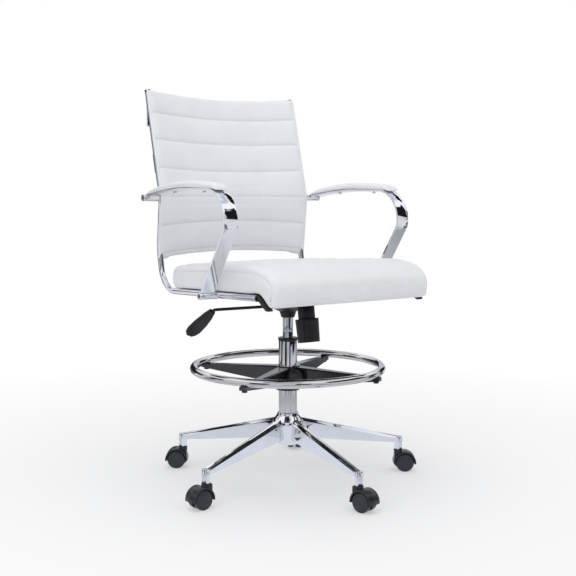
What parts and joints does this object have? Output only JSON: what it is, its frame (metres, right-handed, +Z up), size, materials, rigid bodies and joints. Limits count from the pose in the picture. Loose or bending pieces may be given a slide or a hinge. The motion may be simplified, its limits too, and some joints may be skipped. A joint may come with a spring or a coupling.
{
  "type": "drafting chair",
  "caption": "Tall swivel drafting chair with ribbed back, tufted cushion, looped metal arms, footring and a star base on casters; height, tilt, footring and casters move.",
  "frame": {"origin": "on the floor under the axis of the column", "axes": "+Z up, -Y towards the front of the seat, +X towards the sitter's left"},
  "size_m": [0.7144, 0.7603, 1.068],
  "materials": {
    "chrome": "polished chrome plate",
    "arm_chrome": "polished chrome plate",
    "screw_steel": "zinc plated, satin",
    "ground_steel": "ground steel",
    "spring_steel": "oiled spring steel",
    "nylon": "matt natural nylon",
    "gloss_black": "gloss",
    "black_plastic": "satin",
    "red_button": "gloss",
    "black_metal": "satin powder coat",
    "pan_black": "matt",
    "seat_leather": "white coated leather, soft sheen",
    "back_leather": "white coated leather, soft sheen",
    "pad_leather": "white coated leather, soft sheen",
    "caster_black": "satin gloss",
    "wheel_grey": "satin nylon"
  },
  "bodies": {
    "base": {"base_hub": "chrome", "base_legs": "chrome", "caster_sleeves": "nylon", "outer_tube": "chrome", "guide_bush": "nylon", "top_collar": "black_plastic", "thrust_bearing": "ground_steel"},
    "piston": {"piston_rod": "ground_steel"},
    "seat_carrier": {"gas_cylinder": "ground_steel", "mech_housing": "black_metal", "tension_cup": "black_metal", "tilt_spring": "spring_steel"},
    "seat": {"mech_top_plate": "black_metal", "tilt_axle": "ground_steel", "seat_rails": "black_metal", "seat_pan": "pan_black", "seat_cushion": "seat_leather", "side_tube_left": "chrome", "side_tube_right": "chrome", "tube_plugs": "black_plastic", "arm_left": "arm_chrome", "arm_right": "arm_chrome", "arm_bolts": "screw_steel", "arm_pad_left": "pad_leather", "arm_pad_right": "pad_leather", "frame_screws": "screw_steel", "back_pad": "back_leather", "back_shell": "back_leather", "back_bridges": "chrome", "rear_flap": "back_leather"},
    "lever": {"lever_rod": "black_metal", "lever_paddle": "black_plastic"},
    "valve": {"valve_button": "red_button"},
    "tension_adjuster": {"tension_knob": "black_plastic", "tension_bolt": "ground_steel"},
    "footring": {"footring_tube": "chrome", "footring_spider": "gloss_black", "footring_clips": "black_plastic"},
    "footring_clamp": {"footring_knob": "black_plastic", "footring_stud": "ground_steel"},
    "caster_1": {"caster_1_hood": "caster_black", "caster_1_pins": "ground_steel"},
    "caster_1_left": {"caster_1_wheel_left": "wheel_grey"},
    "caster_1_right": {"caster_1_wheel_right": "wheel_grey"},
    "caster_2": {"caster_2_hood": "caster_black", "caster_2_pins": "ground_steel"},
    "caster_2_left": {"caster_2_wheel_left": "wheel_grey"},
    "caster_2_right": {"caster_2_wheel_right": "wheel_grey"},
    "caster_3": {"caster_3_hood": "caster_black", "caster_3_pins": "ground_steel"},
    "caster_3_left": {"caster_3_wheel_left": "wheel_grey"},
    "caster_3_right": {"caster_3_wheel_right": "wheel_grey"},
    "caster_4": {"caster_4_hood": "caster_black", "caster_4_pins": "ground_steel"},
    "caster_4_left": {"caster_4_wheel_left": "wheel_grey"},
    "caster_4_right": {"caster_4_wheel_right": "wheel_grey"},
    "caster_5": {"caster_5_hood": "caster_black", "caster_5_pins": "ground_steel"},
    "caster_5_left": {"caster_5_wheel_left": "wheel_grey"},
    "caster_5_right": {"caster_5_wheel_right": "wheel_grey"}
  },
  "joints": [
    {"name": "seat_swivel", "type": "hinge", "parent": "base", "child": "piston", "pos_m": [0, 0, 0.108], "axis": [0, 0, 1], "continuous": true},
    {"name": "seat_height", "type": "slide", "parent": "piston", "child": "seat_carrier", "axis": [0, 0, 1], "range_m": [0, 0.2]},
    {"name": "back_tilt", "type": "hinge", "parent": "seat_carrier", "child": "seat", "pos_m": [0, -0.03, 0.488], "axis": [-1, 0, 0], "range_deg": [0, 10], "stiffness_Nm_per_rad": 150, "springref_deg": -14.32},
    {"name": "height_lever", "type": "hinge", "parent": "seat_carrier", "child": "lever", "pos_m": [-0.047, 0.00488, 0.479], "axis": [0.103, 0.9947, 0], "range_deg": [0, 5], "stiffness_Nm_per_rad": 1.5, "springref_deg": -2.86},
    {"name": "valve_press", "type": "slide", "parent": "seat_carrier", "child": "valve", "axis": [0, 0, -1], "range_m": [0, 0.005]},
    {"name": "tilt_tension", "type": "hinge", "parent": "seat_carrier", "child": "tension_adjuster", "pos_m": [0, -0.09, 0.42], "axis": [0, 0.1564, 0.9877], "range_deg": [0, 1080]},
    {"name": "footring_height", "type": "slide", "parent": "base", "child": "footring", "axis": [0, 0, 1], "range_m": [-0.055, 0.055]},
    {"name": "footring_clamp_turn", "type": "hinge", "parent": "footring", "child": "footring_clamp", "pos_m": [-0.01378, -0.04806, 0.288], "axis": [-0.2756, -0.9613, 0], "range_deg": [0, 720]},
    {"name": "caster_1_swivel", "type": "hinge", "parent": "base", "child": "caster_1", "pos_m": [0.30041, -0.11592, 0.06], "axis": [0, 0, 1], "continuous": true},
    {"name": "caster_1_roll_left", "type": "hinge", "parent": "caster_1", "child": "caster_1_left", "pos_m": [0.31497, -0.1265, 0.025], "axis": [0.5878, 0.809, 0], "continuous": true},
    {"name": "caster_1_roll_right", "type": "hinge", "parent": "caster_1", "child": "caster_1_right", "pos_m": [0.31497, -0.1265, 0.025], "axis": [0.5878, 0.809, 0], "continuous": true},
    {"name": "caster_2_swivel", "type": "hinge", "parent": "base", "child": "caster_2", "pos_m": [0.20308, 0.24989, 0.06], "axis": [0, 0, 1], "continuous": true},
    {"name": "caster_2_roll_left", "type": "hinge", "parent": "caster_2", "child": "caster_2_left", "pos_m": [0.21603, 0.26239, 0.025], "axis": [-0.6947, 0.7193, 0], "continuous": true},
    {"name": "caster_2_roll_right", "type": "hinge", "parent": "caster_2", "child": "caster_2_right", "pos_m": [0.21603, 0.26239, 0.025], "axis": [-0.6947, 0.7193, 0], "continuous": true},
    {"name": "caster_3_swivel", "type": "hinge", "parent": "base", "child": "caster_3", "pos_m": [-0.1749, 0.27036, 0.06], "axis": [0, 0, 1], "continuous": true},
    {"name": "caster_3_roll_left", "type": "hinge", "parent": "caster_3", "child": "caster_3_left", "pos_m": [-0.18946, 0.28094, 0.025], "axis": [-0.5878, -0.809, 0], "continuous": true},
    {"name": "caster_3_roll_right", "type": "hinge", "parent": "caster_3", "child": "caster_3_right", "pos_m": [-0.18946, 0.28094, 0.025], "axis": [-0.5878, -0.809, 0], "continuous": true},
    {"name": "caster_4_swivel", "type": "hinge", "parent": "base", "child": "caster_4", "pos_m": [-0.31117, -0.0828, 0.06], "axis": [0, 0, 1], "continuous": true},
    {"name": "caster_4_roll_left", "type": "hinge", "parent": "caster_4", "child": "caster_4_left", "pos_m": [-0.3291, -0.08437, 0.025], "axis": [0.0872, -0.9962, 0], "continuous": true},
    {"name": "caster_4_roll_right", "type": "hinge", "parent": "caster_4", "child": "caster_4_right", "pos_m": [-0.3291, -0.08437, 0.025], "axis": [0.0872, -0.9962, 0], "continuous": true},
    {"name": "caster_5_swivel", "type": "hinge", "parent": "base", "child": "caster_5", "pos_m": [-0.01741, -0.32153, 0.06], "axis": [0, 0, 1], "continuous": true},
    {"name": "caster_5_roll_left", "type": "hinge", "parent": "caster_5", "child": "caster_5_left", "pos_m": [-0.01336, -0.33907, 0.025], "axis": [0.9744, 0.225, 0], "continuous": true},
    {"name": "caster_5_roll_right", "type": "hinge", "parent": "caster_5", "child": "caster_5_right", "pos_m": [-0.01336, -0.33907, 0.025], "axis": [0.9744, 0.225, 0], "continuous": true}
  ],
  "couplings": [
    {"joint": "valve_press", "follows": "height_lever", "m_per_rad": 0.0525}
  ]
}
